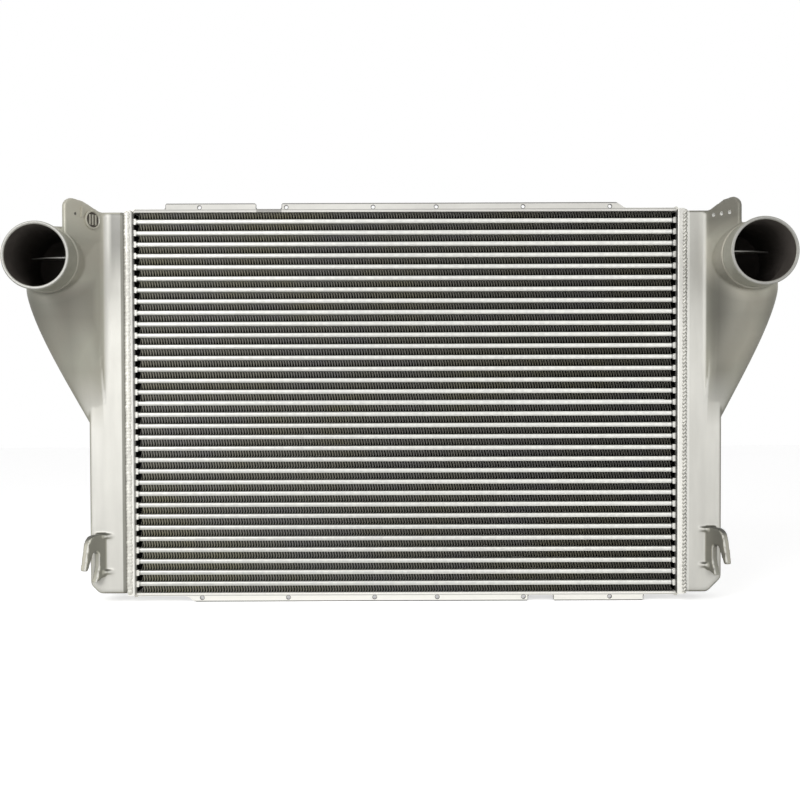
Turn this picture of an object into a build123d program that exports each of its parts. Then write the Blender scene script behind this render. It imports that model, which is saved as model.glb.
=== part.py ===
"""A charge-air cooler for a heavy truck: a brazed tube-and-fin core between two cast tanks.

The cooler is upright, as it is carried in the truck. X runs across it from the left tank to
the right one, Z is up, and both hose ports point to -Y. The origin is under the middle of
the cooler, on the level of its lowest edge. Sizes are in millimetres.
"""
import os
from dataclasses import dataclass
from math import cos, radians, sin, tan

from build123d import *

os.makedirs("parts", exist_ok=True)

# ---- core: flat tubes stacked with rows of fins ----
core_width = 860.0  # between the faces of the two headers
core_depth = 60.0
tube_count = 33
tube_height = 7.0
tube_edge = 2.0  # slope along each long edge of a tube
tube_wall = 0.8
tube_reach = 3.0  # of a tube past the header plate, into the tank
fin_height = 11.0
fin_setback = 2.5  # from the tubes' noses to the fins
fin_end_gap = 8.0  # bare tube between the header and the first fin
turbulator_sheet = 0.5
turbulator_legs = 3

# ---- headers: pressed pans that the tubes pass through ----
header_plate = 4.0
header_rim = 12.0  # depth of the pan, from its face to the tank's edge
rim_wall = 5.0
fold_radius = 4.0
collar_wall = 1.0
collar_reach = 4.0

# ---- side rails: channels over the outermost fins ----
rail_sheet = 3.0
rail_height = 14.0
rail_low = 5.0  # height of the flanges where they are cut down
rail_start = 51.0  # from the rail's end to the short raised stretch
rail_short = 144.0
rail_notch = 40.0
rail_finish = 81.0  # from the rail's other end to the foot of its slope
rail_slope = 13.0
rail_corner = 2.0
rail_hole = 5.5
rail_hole_level = 7.5  # above the rail's inner face
rail_hole_pitch = 137.5
rail_hole_gap = 100.0  # between the two holes nearest the middle
rail_holes_a_side = 3

# ---- tanks: hollow castings with a horn that ends in a hose port ----
tank_depth = 76.0
tank_width = 59.5  # from the header's rim to the tank's outer side
tank_wall = 4.0
tank_corner = 8.0
tank_edge = 5.0

wall_angle = 35.0  # of the horn's inner wall, its ear and the hook, away from Y
crease_inset = 26.5  # from the tank's outer side to the foot of that wall
crease_radius = 14.0
crease_start = 0.0  # levels are measured from the middle of the core
crease_run = 60.0  # height over which the crease's fillet grows to its full size

horn_shoulder = 175.0
horn_sink = 3.0  # of the horn's root below the tank's skin
horn_ease = 1.3  # how soon the outer side of the horn turns upright
horn_steps = 8
horn_flats = 12
horn_back_corner = 18.0
nose_depth = 45.0

neck_radius = 52.0
neck_reach = 58.0  # in front of the tank
spigot_radius = 50.0
spigot_length = 50.0
bore_radius = 46.0
bead_height = 1.2
bead_length = 5.0
ear_thickness = 8.0
ear_top = 316.0
ear_root_level = 258.0
ear_corner = 13.0
ear_hole_level = 292.5
ear_hole = 6.2
ear_hole_pitch = 15.5
ear_hole_start = 15.0
ear_hole_count = 3
left_hole = 4.5
left_hole_place = 55.0
pad_radius = 14.0
pad_rim = 3.0
pad_height = 2.5
pad_place = 21.0
pad_level = 286.0
rib_place = 41.0
rib_width = 3.0
rib_length = 15.0
rib_level = 297.0

hook_top = -206.0
hook_thickness = 12.0
hook_length = 38.0
hook_flare = 5.0  # of the front leg's tip past the hook's length
hook_leg = 6.0  # width of the front leg at its tip
hook_leg_end = -262.0
hook_chin = -283.0
slot_radius = 6.6
slot_place = 21.0  # from the tank's face, along the hook
slot_level = -240.0
gusset_length = 12.0
gusset_height = 8.0
gusset_thickness = 5.0
gusset_inset = 4.0

# ---- welds ----
bead_width = 10.0
bead_crown = 2.5
rail_weld_radius = 4.0


@dataclass
class TankShape:
    """What sets one tank apart from the other."""

    root: float  # level at which the horn starts
    spread: float  # of the horn past the tank's outer side
    port_offset: float  # of the port's axis from the tank's header edge
    port_level: float
    ear_length: float
    hook_rise: float
    foot_slope: float


left_shape = TankShape(
    root=-38.0,
    spread=89.0,
    port_offset=108.0,
    port_level=221.2,
    ear_length=75.0,
    hook_rise=0.0,
    foot_slope=14.5,
)
right_shape = TankShape(
    root=-33.0,
    spread=80.0,
    port_offset=92.5,
    port_level=224.5,
    ear_length=64.0,
    hook_rise=8.0,
    foot_slope=22.0,
)

# ---- worked out from the sizes above ----
tube_pitch = tube_height + fin_height
core_height = tube_count * tube_height + (tube_count + 1) * fin_height
header_face = core_width / 2
header_height = core_height + 2 * rail_sheet
tank_edge_x = header_face + header_rim
tank_side_x = tank_edge_x + tank_width
tank_front = -tank_depth / 2
crease_x = tank_side_x - crease_inset
neck_face = tank_front - neck_reach
mouth_face = neck_face - spigot_length
lean = radians(wall_angle)
weld_back = tank_depth / 2 + bead_crown
to_origin = Location(
    (
        (left_shape.port_offset - right_shape.port_offset) / 2,
        -(mouth_face + weld_back) / 2,
        core_height / 2 + rail_height,
    )
)

# The plane of the horn's inner wall: its X runs out along the wall from the crease, its Y is
# up, and its normal faces the middle of the cooler.
wall_plane = Plane(
    origin=(crease_x, tank_front, 0),
    x_dir=(sin(lean), -cos(lean), 0),
    z_dir=(-cos(lean), -sin(lean), 0),
)


def tube_section():
    """The outside of a tube, cut across."""
    return chamfer(Rectangle(core_depth, tube_height).vertices(), tube_edge)


def tube_levels():
    """The heights of the tubes' middles, from the lowest up."""
    return [tube_pitch * (row - (tube_count - 1) / 2) for row in range(tube_count)]


def tube(level):
    """One flat tube, open at both ends, at its height in the core."""
    half = header_face + header_plate + tube_reach
    ring = tube_section() - offset(tube_section(), -tube_wall, kind=Kind.INTERSECTION)
    return Pos(0, 0, level) * extrude(Plane.YZ * ring, half, both=True)


def turbulator(level):
    """The folded strip inside a tube, soldered to its two flat walls."""
    rise = tube_height / 2 - tube_wall - turbulator_sheet / 2
    span = core_depth - 2 * tube_edge - 2 * tube_wall - turbulator_sheet
    step = span / turbulator_legs
    flat = step / 4
    points = [(-span / 2, -rise)]
    for leg in range(turbulator_legs):
        side = 1 if leg % 2 else -1
        middle = -span / 2 + step * (leg + 0.5)
        points += [(middle - flat, side * rise), (middle + flat, -side * rise)]
    points.append((span / 2, -rise if turbulator_legs % 2 == 0 else rise))
    strip = trace(Polyline(*points), turbulator_sheet)
    return Pos(0, 0, level) * extrude(Plane.YZ * strip, header_face, both=True)


def fin_rows():
    """The rows of fins between, over and under the tubes, each as the block it fills."""
    levels = [tube_pitch * (row - tube_count / 2) for row in range(tube_count + 1)]
    row_block = Box(core_width - 2 * fin_end_gap, core_depth - 2 * fin_setback, fin_height)
    return [Pos(0, 0, level) * row_block for level in levels]


def header():
    """The right header: a slotted pan with a collar round each tube."""
    pan = Pos(header_face + header_rim / 2, 0, 0) * Box(header_rim, tank_depth, header_height)
    pan = fillet(pan.edges().group_by(Axis.X)[0], fold_radius)
    hollow_depth = header_rim - header_plate
    hollow = Box(hollow_depth, tank_depth - 2 * rim_wall, header_height - 2 * rim_wall)
    pan -= Pos(tank_edge_x - hollow_depth / 2, 0, 0) * hollow
    collar = Plane.YZ * Rectangle(core_depth + 2 * collar_wall, tube_height + 2 * collar_wall)
    slot = Plane.YZ * tube_section()
    start = header_face - collar_reach
    for level in tube_levels():
        pan += Pos(start, 0, level) * extrude(collar, collar_reach)
    for level in tube_levels():
        pan -= Pos(start, 0, level) * extrude(slot, collar_reach + header_plate)
    return pan


def rail_skyline():
    """The front view of the upper rail: low ends, two raised stretches and a notch."""
    half = core_width / 2
    short_end = -half + rail_start + rail_short
    crest_end = half - rail_finish
    steps = [
        (-half + rail_start, rail_low),
        (-half + rail_start, rail_height),
        (short_end, rail_height),
        (short_end, rail_low),
        (short_end + rail_notch, rail_low),
        (short_end + rail_notch, rail_height),
        (crest_end - rail_slope, rail_height),
        (crest_end, rail_low),
    ]
    skyline = make_face(
        Polyline((-half, 0), (-half, rail_low), *steps, (half, rail_low), (half, 0), close=True)
    )
    return chamfer([v for v in skyline.vertices() if v.Y > 0], rail_corner)


def rail_hole_places():
    """The places of the holes along a rail, the same to both sides of its middle."""
    right = [rail_hole_gap / 2 + rail_hole_pitch * n for n in range(rail_holes_a_side)]
    return [-x for x in right] + right


def upper_rail():
    """A channel on top of the core, its flanges up, cut to the skyline, its front one drilled."""
    level = core_height / 2
    channel = Pos(0, 0, rail_height / 2) * Box(core_width, core_depth, rail_height)
    trough = Box(core_width, core_depth - 2 * rail_sheet, rail_height)
    channel -= Pos(0, 0, rail_sheet + rail_height / 2) * trough
    channel &= extrude(Plane.XZ * rail_skyline(), core_depth, both=True)
    drill = Rot(90, 0, 0) * Cylinder(rail_hole / 2, 2 * rail_sheet)
    for place in rail_hole_places():
        channel -= Pos(place, -core_depth / 2, rail_hole_level) * drill
    return Pos(0, 0, level) * channel


def along(start, end, share):
    """The point that lies that share of the way from start to end."""
    return tuple(a + (b - a) * share for a, b in zip(start, end))


def horn_section(shape, share, inset):
    """A level cut through a horn, from its root (share 0) to its shoulder (share 1)."""
    spread = (shape.spread + horn_sink) * (1 - (1 - share) ** horn_ease)
    growth = share * share * (3 - 2 * share)
    root_y = tank_front + horn_sink + inset
    side = tank_side_x - horn_sink + spread - inset
    nose_y = root_y - (neck_reach + horn_sink) * growth
    back_y = tank_depth / 2 - inset
    back_corner = tank_corner + (horn_back_corner - tank_corner) * growth
    foot = (crease_x - horn_sink * tan(lean) + inset * (1 - sin(lean)) / cos(lean), root_y)
    turn = (foot[0] + (root_y - nose_y) * tan(lean), nose_y)
    corner = (side, nose_y)
    flank = (side, nose_y + tank_corner + (nose_depth - tank_corner) * growth)
    skin = Bezier(
        foot,
        along(foot, turn, 0.8),
        along(turn, corner, 0.25),
        along(turn, corner, 0.85),
        along(corner, flank, 0.4),
        flank,
    )
    flats = horn_flats // 2 if inset else horn_flats
    inner = (tank_edge_x + crease_x) / 2
    return make_face(
        Polyline(
            *[skin @ (n / flats) for n in range(flats + 1)],
            (side, back_y - back_corner),
            (side - back_corner, back_y),
            (inner, back_y),
            (inner, root_y),
            close=True,
        )
    )


def neck_plane(shape, level_y):
    """The plane square to a port's axis at that Y, facing out of the port."""
    place = (tank_edge_x + shape.port_offset, level_y, shape.port_level)
    return Plane(origin=place, x_dir=(1, 0, 0), z_dir=(0, -1, 0))


def horn(shape, inset):
    """The flared horn with its elbow and neck, or the space inside it at that inset."""
    rise = horn_shoulder - shape.root
    steps = horn_steps // 2 if inset else horn_steps
    shares = [n / steps for n in range(steps + 1)]
    levels = [Pos(0, 0, shape.root + rise * s) * horn_section(shape, s, inset) for s in shares]
    flare = loft(levels, ruled=True)
    rim = shape.port_level + neck_radius - inset
    port_x = tank_edge_x + shape.port_offset
    far = tank_side_x + 2 * shape.spread
    elbow = extrude(Pos(0, 0, horn_shoulder) * horn_section(shape, 1, inset), rim - horn_shoulder)
    outline = make_face(
        Polyline(
            (tank_edge_x, horn_shoulder),
            (far, horn_shoulder),
            (far, shape.port_level),
            (port_x, shape.port_level),
            (port_x, rim),
            (tank_edge_x, rim),
            close=True,
        )
    )
    elbow &= extrude(Plane.XZ * outline, 2 * tank_depth, both=True)
    back_y = tank_depth / 2 - inset
    neck_end = neck_face + inset
    neck = extrude(neck_plane(shape, back_y) * Circle(neck_radius - inset), back_y - neck_end)
    return flare + elbow + neck


def crease_section(radius):
    """The fillet between the tank's face and the horn's inner wall, cut level."""
    reach = radius * tan((radians(90) - lean) / 2)
    swing = (radians(90) - lean) / 2
    start = (crease_x - reach, tank_front)
    end = (crease_x + reach * sin(lean), tank_front - reach * cos(lean))
    middle = (start[0] + radius * sin(swing), tank_front - radius * (1 - cos(swing)))
    inside = tank_front + horn_sink
    return make_face(
        [
            ThreePointArc(start, middle, end),
            Polyline(end, (crease_x + horn_sink, inside), (start[0], inside), start),
        ]
    )


def crease_fillet():
    """The fillet up the foot of the horn's inner wall and its ear."""
    full = crease_start + crease_run
    start = Pos(0, 0, crease_start) * crease_section(crease_radius / 10)
    rest = Pos(0, 0, full) * crease_section(crease_radius)
    return loft([start, rest], ruled=True) + extrude(rest, core_height / 2 - tank_edge - full)


def tank_block(shape, inset):
    """The long box of the tank, or the space inside it at that inset."""
    half = core_height / 2 - inset
    side = tank_side_x - inset
    half_depth = tank_depth / 2 - inset
    slope = shape.foot_slope + inset * (tan(radians(22.5)) - 1)
    outline = make_face(
        Polyline(
            (tank_edge_x, -half),
            (side - slope, -half),
            (side, -half + slope),
            (side, half),
            (tank_edge_x, half),
            close=True,
        )
    )
    if inset:
        return extrude(Plane.XZ * outline, half_depth, both=True)
    outline = fillet([v for v in outline.vertices() if v.X > tank_edge_x + 1], tank_corner)
    block = extrude(Plane.XZ * outline, half_depth, both=True)
    ends = block.edges().group_by(Axis.Y)
    return chamfer([e for e in ends[0] + ends[-1] if e.center().X > tank_edge_x + 1], tank_edge)


def spigot(shape):
    """The machined end of the port, with the bead that keeps a hose on."""
    pipe = extrude(neck_plane(shape, neck_face) * Circle(spigot_radius), spigot_length)
    bead_ring = Circle(spigot_radius + bead_height)
    return pipe + extrude(neck_plane(shape, mouth_face) * bead_ring, -bead_length)


def port_bore(shape):
    """The space inside the spigot."""
    length = spigot_length + 2 * tank_wall
    return extrude(neck_plane(shape, mouth_face) * Circle(bore_radius), -length)


def on_wall(place, level, radius, height):
    """A round boss on the horn's inner wall, or a drill into it where height is negative."""
    return extrude(wall_plane * Pos(place, level) * Circle(radius), height)


def ear(length):
    """The flat ear that carries the horn's inner wall on above the neck."""
    outline = make_face(
        Polyline(
            (-tank_wall, ear_root_level),
            (-tank_wall, core_height / 2 - tank_corner / 4),
            (length * 0.12, core_height / 2),
            (length * 0.55, ear_top - 1.5),
            (length - ear_corner, ear_top),
            (length, ear_top - ear_corner),
            (length, ear_root_level),
            close=True,
        )
    )
    tip = [v for v in outline.vertices() if v.Y > ear_top - 1.4 * ear_corner]
    outline = fillet(tip, ear_corner / 2)
    return extrude(wall_plane * outline, -ear_thickness)


def hook():
    """The hook low on the tank, open downwards, with its two gussets."""
    left = slot_place - slot_radius
    right = slot_place + slot_radius
    tip = hook_length + hook_flare
    outline = make_face(
        [
            ThreePointArc(
                (right, slot_level), (slot_place, slot_level + slot_radius), (left, slot_level)
            ),
            Polyline(
                (left, slot_level),
                (left, hook_leg_end + slot_radius),
                (slot_place, hook_chin),
                (0, hook_chin + 12),
                (-tank_wall, hook_chin + 12),
                (-tank_wall, hook_top),
                (hook_length * 0.2, hook_top),
                (hook_length * 0.72, hook_top - 4),
                (hook_length * 0.92, hook_top - 16),
                (tip, hook_leg_end),
                (tip - hook_leg, hook_leg_end),
                (right, slot_level),
            ),
        ]
    )
    plate = extrude(wall_plane * outline, -hook_thickness)
    rib = make_face(
        Polyline(
            (crease_x - gusset_length, tank_front),
            (crease_x, tank_front + tank_wall),
            (crease_x + tank_wall, tank_front),
            (crease_x + gusset_height * sin(lean), tank_front - gusset_height * cos(lean)),
            close=True,
        )
    )
    for level in (hook_top - gusset_inset, hook_chin + 12 + gusset_inset):
        plate += Pos(0, 0, level) * extrude(rib, gusset_thickness / 2, both=True)
    return plate


def tank(shape, ear_fittings, ear_drills):
    """A right tank: the cast body with its ear's own bosses and holes."""
    body = tank_block(shape, 0) + horn(shape, 0) + spigot(shape) + ear(shape.ear_length)
    body += crease_fillet()
    body += Pos(0, 0, shape.hook_rise) * hook()
    for boss in ear_fittings:
        body += boss
    body -= tank_block(shape, tank_wall) + horn(shape, tank_wall)
    body -= port_bore(shape)
    for drill in ear_drills:
        body -= drill
    return body


def right_tank():
    """The right tank: three holes in its ear."""
    places = [ear_hole_start + ear_hole_pitch * n for n in range(ear_hole_count)]
    drills = [on_wall(p, ear_hole_level, ear_hole / 2, -2 * ear_thickness) for p in places]
    return tank(right_shape, [], drills)


def left_tank():
    """The left tank: a round pad, a short rib and one hole in its ear."""
    pad = on_wall(pad_place, pad_level, pad_radius, pad_height)
    recess = on_wall(pad_place, pad_level, pad_radius - pad_rim, pad_height)
    rib = Pos(rib_place, rib_level, pad_height / 2) * Box(rib_width, rib_length, pad_height)
    drill = on_wall(left_hole_place, ear_hole_level, left_hole / 2, -2 * ear_thickness)
    return mirror(tank(left_shape, [pad - recess, wall_plane * rib], [drill]), about=Plane.YZ)


def tank_weld(header_pan, tank_body):
    """The bead all round the joint of a header and its tank, on the right side."""
    ring = Box(bead_width, tank_depth + 2 * bead_crown, core_height + 2 * bead_crown)
    ring = Pos(tank_edge_x, 0, 0) * chamfer(ring.edges(), bead_crown * 0.9)
    core = Box(2 * bead_width, tank_depth, core_height)
    return ring - Pos(tank_edge_x, 0, 0) * core - header_pan


def rail_weld(rail, header_pan):
    """The bead across the upper rail's right end, in the groove of the header's fold."""
    bead = extrude(Plane.XZ * RegularPolygon(rail_weld_radius, 8), core_depth / 2, both=True)
    return Pos(header_face, 0, header_height / 2) * bead - rail - header_pan


def quarter_turned(piece):
    """The same piece at the other corner or side of the core, turned half round about Y."""
    return Rot(0, 180, 0) * piece


def save(name, *solids):
    """Write one named sub-part at its place in the cooler."""
    placed = [to_origin * solid for solid in solids]
    export_step(placed[0] if len(placed) == 1 else Compound(children=placed), f"parts/{name}.step")


right_pan = header()
top_rail = upper_rail()
save("right_header", right_pan)
save("left_header", mirror(right_pan, about=Plane.YZ))
for number, height in enumerate(reversed(tube_levels()), start=1):
    save(f"tube_{number:02d}", tube(height))
save("turbulators", *[turbulator(height) for height in tube_levels()])
save("air_fins", *fin_rows())
save("upper_side_rail", top_rail)
save("lower_side_rail", quarter_turned(top_rail))
right_body = right_tank()
save("right_tank", right_body)
save("left_tank", left_tank())
weld = tank_weld(right_pan, right_body)
save("right_tank_weld", weld)
save("left_tank_weld", mirror(weld, about=Plane.YZ))
corner = rail_weld(top_rail, right_pan)
far_corner = mirror(corner, about=Plane.YZ)
save("rail_welds", corner, far_corner, quarter_turned(corner), quarter_turned(far_corner))
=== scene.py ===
"""The looks of a truck's charge-air cooler, laid out as an add-on and run as a script.

Every piece is in metres, in the frame of the CAD model. The tanks' own shapes are worked
out in millimetres about the middle of the core, as a right tank, and then placed.
"""
from functools import cached_property
from math import cos, pi, radians, sin, tan

import bmesh
import bpy
from bpy.props import FloatProperty, FloatVectorProperty, IntProperty, PointerProperty
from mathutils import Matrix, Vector


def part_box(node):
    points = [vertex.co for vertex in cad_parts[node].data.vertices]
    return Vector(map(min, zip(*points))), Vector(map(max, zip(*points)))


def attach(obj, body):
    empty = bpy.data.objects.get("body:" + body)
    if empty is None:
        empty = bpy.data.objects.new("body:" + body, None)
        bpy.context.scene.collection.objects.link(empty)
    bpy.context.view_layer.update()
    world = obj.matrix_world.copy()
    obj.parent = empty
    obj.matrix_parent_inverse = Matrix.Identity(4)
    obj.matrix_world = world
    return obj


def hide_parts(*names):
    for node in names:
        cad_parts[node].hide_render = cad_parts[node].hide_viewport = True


bl_info = {
    "name": "Charge-Air Cooler",
    "version": (1, 0, 0),
    "blender": (4, 5, 0),
    "location": "View3D > Sidebar > Cooler",
    "description": "Dresses a tube-and-fin charge-air cooler with cast tanks",
    "category": "Object",
}

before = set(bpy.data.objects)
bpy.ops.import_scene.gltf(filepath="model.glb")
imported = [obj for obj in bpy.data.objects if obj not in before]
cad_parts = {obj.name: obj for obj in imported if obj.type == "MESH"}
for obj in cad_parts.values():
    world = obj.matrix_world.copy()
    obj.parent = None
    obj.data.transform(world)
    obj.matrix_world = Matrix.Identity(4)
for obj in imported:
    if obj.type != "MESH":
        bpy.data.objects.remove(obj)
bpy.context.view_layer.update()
fins_low, fins_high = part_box("air_fins")
core_middle = (fins_low + fins_high) / 2
tube_names = sorted(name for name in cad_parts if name.startswith("tube_"))
weld_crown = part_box("left_tank_weld")[1].y - core_middle.y
header_face = (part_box("upper_side_rail")[1].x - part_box("upper_side_rail")[0].x) / 2
MM = 0.001


# ---- settings ----
def colour(name, text, value):
    """A colour that the panel shows."""
    return FloatVectorProperty(
        name=name, description=text, default=value, subtype="COLOR", size=3, min=0.0, max=1.0
    )


def length(name, text, value):
    """A length that the panel shows, in metres."""
    return FloatProperty(
        name=name, description=text, default=value, min=0.0, subtype="DISTANCE", unit="LENGTH",
        precision=5,
    )


class CoreSettings(bpy.types.PropertyGroup):
    """Sizes and colours of the tubes and fins."""

    fin_period: length("Fin period", "Length of one fold of the fins", 0.0043)
    fin_crest: FloatProperty(
        name="Fin crest", description="Flat share of each fold", default=0.05, min=0.0, max=0.4
    )
    fin_wave: length("Fin wave", "How far the fins sway sideways near their front", 0.0009)
    fin_sheet: length("Fin sheet", "Thickness of the fins' sheet", 0.00036)
    fin_groups: IntProperty(
        name="Fin groups", description="Pieces that the rows are shared out to", default=4, min=1
    )
    tube_round: length("Tube rounding", "Radius along the tubes' long edges", 0.0022)
    tube_wall: length("Tube wall", "Thickness of the tubes' sheet", 0.0008)
    fin_metal: colour("Fins", "Colour of the folded sheet", (0.82, 0.80, 0.71))
    fin_olive: colour("Olive fins", "Colour that the fins drift to", (0.84, 0.80, 0.57))
    fin_blue: colour("Blue fins", "The other colour that they drift to", (0.75, 0.74, 0.75))
    tube_metal: colour("Tubes", "Colour of the brazed tubes", (0.97, 0.97, 0.91))
    # Tube line paints the shade along the tubes' noses, and darkens the line by their collars.
    tube_line: colour("Tube line", "Colour of the seam along a tube's nose", (0.66, 0.66, 0.64))


class TankSettings(bpy.types.PropertyGroup):
    """Sizes and colours of the cast tanks."""

    grain: length("Mesh grain", "Size of the casting's mesh faces", 0.0018)
    hollow_grain: length("Hollow grain", "Size of the mesh faces inside it", 0.003)
    softening: IntProperty(
        name="Softening", description="Rounds of smoothing along edges", default=4, min=0
    )
    # Face is the casting's metal in painted light; As cast is the same metal in painted shade.
    lit_face_metal: colour("Face", "Colour where the casting is brushed", (0.69, 0.68, 0.63))
    shaded_cast_metal: colour("As cast", "Colour of the darker walls", (0.375, 0.37, 0.31))
    warm_metal: colour("Warm patches", "Colour that the walls drift to", (0.375, 0.335, 0.275))
    # A painted highlight along the right tank beside its weld.
    ledge_highlight_metal: colour("Ledge", "Colour of the ledge by the right weld", (0.85, 0.85, 0.80))
    # A painted highlight: the right ear's drilled holes shown lit.
    lit_hole_metal: colour("Ear holes", "Colour of the right ear's drilled holes", (0.95, 0.95, 0.92))
    # Bore paints the shade inside the ports and tanks.
    bore_metal: colour("Bore", "Colour inside the ports", (0.080, 0.070, 0.062))


class TrimSettings(bpy.types.PropertyGroup):
    """Sizes and colours of the headers, rails and welds."""

    ripple: length("Weld ripple", "Length of one ripple of the weld", 0.0058)
    sheet_metal: colour("Sheet", "Colour of the headers", (0.66, 0.65, 0.61))
    rail_metal: colour("Rails", "Colour of the side rails", (0.65, 0.64, 0.60))
    weld_metal: colour("Weld", "Colour of the weld bead", (0.62, 0.61, 0.56))


class StageSettings(bpy.types.PropertyGroup):
    """The camera, the lamps and the floor."""

    distance: length("Camera distance", "From the camera to the cooler's front", 1.8)
    key_power: FloatProperty(name="Key power", description="Main lamp, in watts", default=37.0)
    fill_power: FloatProperty(name="Fill power", description="Second lamp, in watts", default=14.0)
    room_light: FloatProperty(
        name="Room light", description="Level of the light from all round", default=0.35, min=0.0
    )
    floor_tone: colour("Floor", "Colour of the floor", (0.90, 0.90, 0.90))


SETTINGS = (
    ("cooler_core", CoreSettings),
    ("cooler_tanks", TankSettings),
    ("cooler_trim", TrimSettings),
    ("cooler_stage", StageSettings),
)


# ---- the tank casting's shape, in millimetres ----
LEFT, RIGHT = -1, 1
TANK_EDGE, TANK_SIDE, CREASE, FRONT, BACK = 442.0, 501.5, 475.0, -38.0, 38.0
CORE_HALF, FOLD, WALL = 302.5, 6.0, 4.0
SHOULDER, SINK, EASE = 175.0, 3.0, 1.3
NECK_RADIUS, NECK_FACE, MOUTH, BORE = 52.0, -96.0, -146.0, 46.0
LEAN = radians(35.0)
EAR_FOOT, EAR_BEND, EAR_TOP, EAR_THICK = 258.0, 300.5, 316.0, 8.0
EAR_START = -4.0  # along the horn's inner wall, from the crease
EAR_CORNER = 13.0
HOLE_LEVEL, HOLE_PITCH = 292.5, 15.5
PAD_PLACE, PAD_LEVEL, PAD_INSIDE = 22.5, 287.0, 12.0
CREASE_RADIUS, CREASE_START, CREASE_RUN = 14.0, 1.4, 60.0
HOOK_THICK, HOOK_SLOT, HOOK_ROUND, HOOK_LEVEL = 12.0, 21.0, 6.6, -240.0
GUSSET_LEVELS, GUSSET_HALF = (-210.0, -267.0), 2.5
OVERLAP = 0.5  # how far one solid reaches into the next
ARC_STEPS = 5
SHAPES = {
    LEFT: dict(
        name="left", root=-38.0, spread=89.0, port_x=550.0, port_z=221.2, vane=4.0, ear=75.0,
        hook=0.0, foot=14.5,
    ),
    RIGHT: dict(
        name="right", root=-33.0, spread=80.0, port_x=534.5, port_z=224.5, vane=7.0, ear=64.0,
        hook=8.0, foot=22.0,
    ),
}


def between(start, end, share):
    """The point that lies that share of the way from start to end."""
    return tuple(a + (b - a) * share for a, b in zip(start, end))


def bezier(points, share):
    """The point of a Bezier curve with those control points."""
    while len(points) > 1:
        points = [between(a, b, share) for a, b in zip(points, points[1:])]
    return points[0]


def curve(points, steps=ARC_STEPS):
    """Points along a Bezier curve, its ends among them."""
    return [bezier(points, n / steps) for n in range(steps + 1)]


def full_turn(sides):
    """The angles of a regular outline's corners."""
    return [2 * pi * n / sides for n in range(sides)]


def rounded(points, radius):
    """A closed outline with its corners rounded."""
    done = []
    for before, corner, after in zip(points[-1:] + points[:-1], points, points[1:] + points[:1]):
        back, on = Vector(before) - Vector(corner), Vector(after) - Vector(corner)
        cut = min(radius, back.length * 0.49, on.length * 0.49)
        start = Vector(corner) + back.normalized() * cut
        end = Vector(corner) + on.normalized() * cut
        done += curve([tuple(start), corner, tuple(end)])
    return done


def closed(rings):
    """Points and faces of a solid through rings of as many points each."""
    count = len(rings[0])
    faces = [tuple(range(count)), tuple(range((len(rings) - 1) * count, len(rings) * count))]
    for ring in range(len(rings) - 1):
        for n in range(count):
            low, high = ring * count, (ring + 1) * count
            faces.append((low + n, low + (n + 1) % count, high + (n + 1) % count, high + n))
    return [point for ring in rings for point in ring], faces


def level_solid(outline, low, high):
    """A solid with that outline, seen from above, between two levels."""
    return closed([[(x, y, z) for x, y in outline] for z in (low, high)])


def round_bar(x, z, radius, y_start, y_end, sides=96):
    """A bar along Y."""
    ring = [(x + radius * cos(a), z + radius * sin(a)) for a in full_turn(sides)]
    return closed([[(px, y, pz) for px, pz in ring] for y in (y_start, y_end)])


def horn_level(shape, share, inset=0.0, flats=36):
    """A level cut through the horn, at a share of the way up it."""
    spread = (shape["spread"] + SINK) * (1 - (1 - share) ** EASE)
    growth = share * share * (3 - 2 * share)
    root_y = FRONT + SINK + inset
    side = TANK_SIDE - SINK + spread - inset
    nose_y = root_y - (FRONT - NECK_FACE + SINK) * growth
    back_y = BACK - inset
    corner = 8 + 10 * growth
    foot = (CREASE - SINK * tan(LEAN) + inset * (1 - sin(LEAN)) / cos(LEAN), root_y)
    turn = (foot[0] + (root_y - nose_y) * tan(LEAN), nose_y)
    nose = (side, nose_y)
    flank = (side, nose_y + 8 + 37 * growth)
    skin = [foot, between(foot, turn, 0.8), between(turn, nose, 0.25)]
    skin += [between(turn, nose, 0.85), between(nose, flank, 0.4), flank]
    inner = (TANK_EDGE + CREASE) / 2
    round_back = curve([(side, back_y - corner), (side, back_y), (side - corner, back_y)])
    return curve(skin, flats) + round_back + [(inner, back_y), (inner, root_y)]


def horn_solids(shape, inset=0.0, steps=28):
    """The flare, the elbow and the neck, or the space in them at that inset."""
    rise = SHOULDER - shape["root"]
    rings = []
    for n in range(steps + 1):
        level = shape["root"] + rise * n / steps
        rings.append([(x, y, level) for x, y in horn_level(shape, n / steps, inset)])
    section = horn_level(shape, 1, inset)
    port_x, port_z = shape["port_x"], shape["port_z"]
    top_section = [(min(x, port_x), y) for x, y in section]
    radius = NECK_RADIUS - inset
    elbow = level_solid(section, SHOULDER - OVERLAP, port_z)
    top = level_solid(top_section, port_z - OVERLAP, port_z + radius)
    neck = round_bar(port_x, port_z, radius, BACK - inset, NECK_FACE + inset)
    return [closed(rings), elbow, top, neck]


def block_ring(shape, extra, y, reach=0.0):
    """An upright cut through the tank's long box, drawn in by that much."""
    half, side = CORE_HALF - extra, TANK_SIDE - extra
    slope = shape["foot"] + extra * (tan(radians(22.5)) - 1)
    inner = TANK_EDGE - reach
    outline = [(inner, -half), (side - slope, -half), (side, slope - half), (side, half)]
    outline.append((inner, half))
    return [(x, y, z) for x, z in rounded(outline, 5.0)]


def block_solid(shape):
    """The tank's long box with a rounded rim."""
    rings = []
    for n in range(ARC_STEPS + 1):
        swing = n / ARC_STEPS * pi / 2
        rings.append(block_ring(shape, FOLD * (1 - sin(swing)), BACK - FOLD * (1 - cos(swing))))
    return closed(rings + [[(x, -y, z) for x, y, z in ring] for ring in reversed(rings)])


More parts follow.
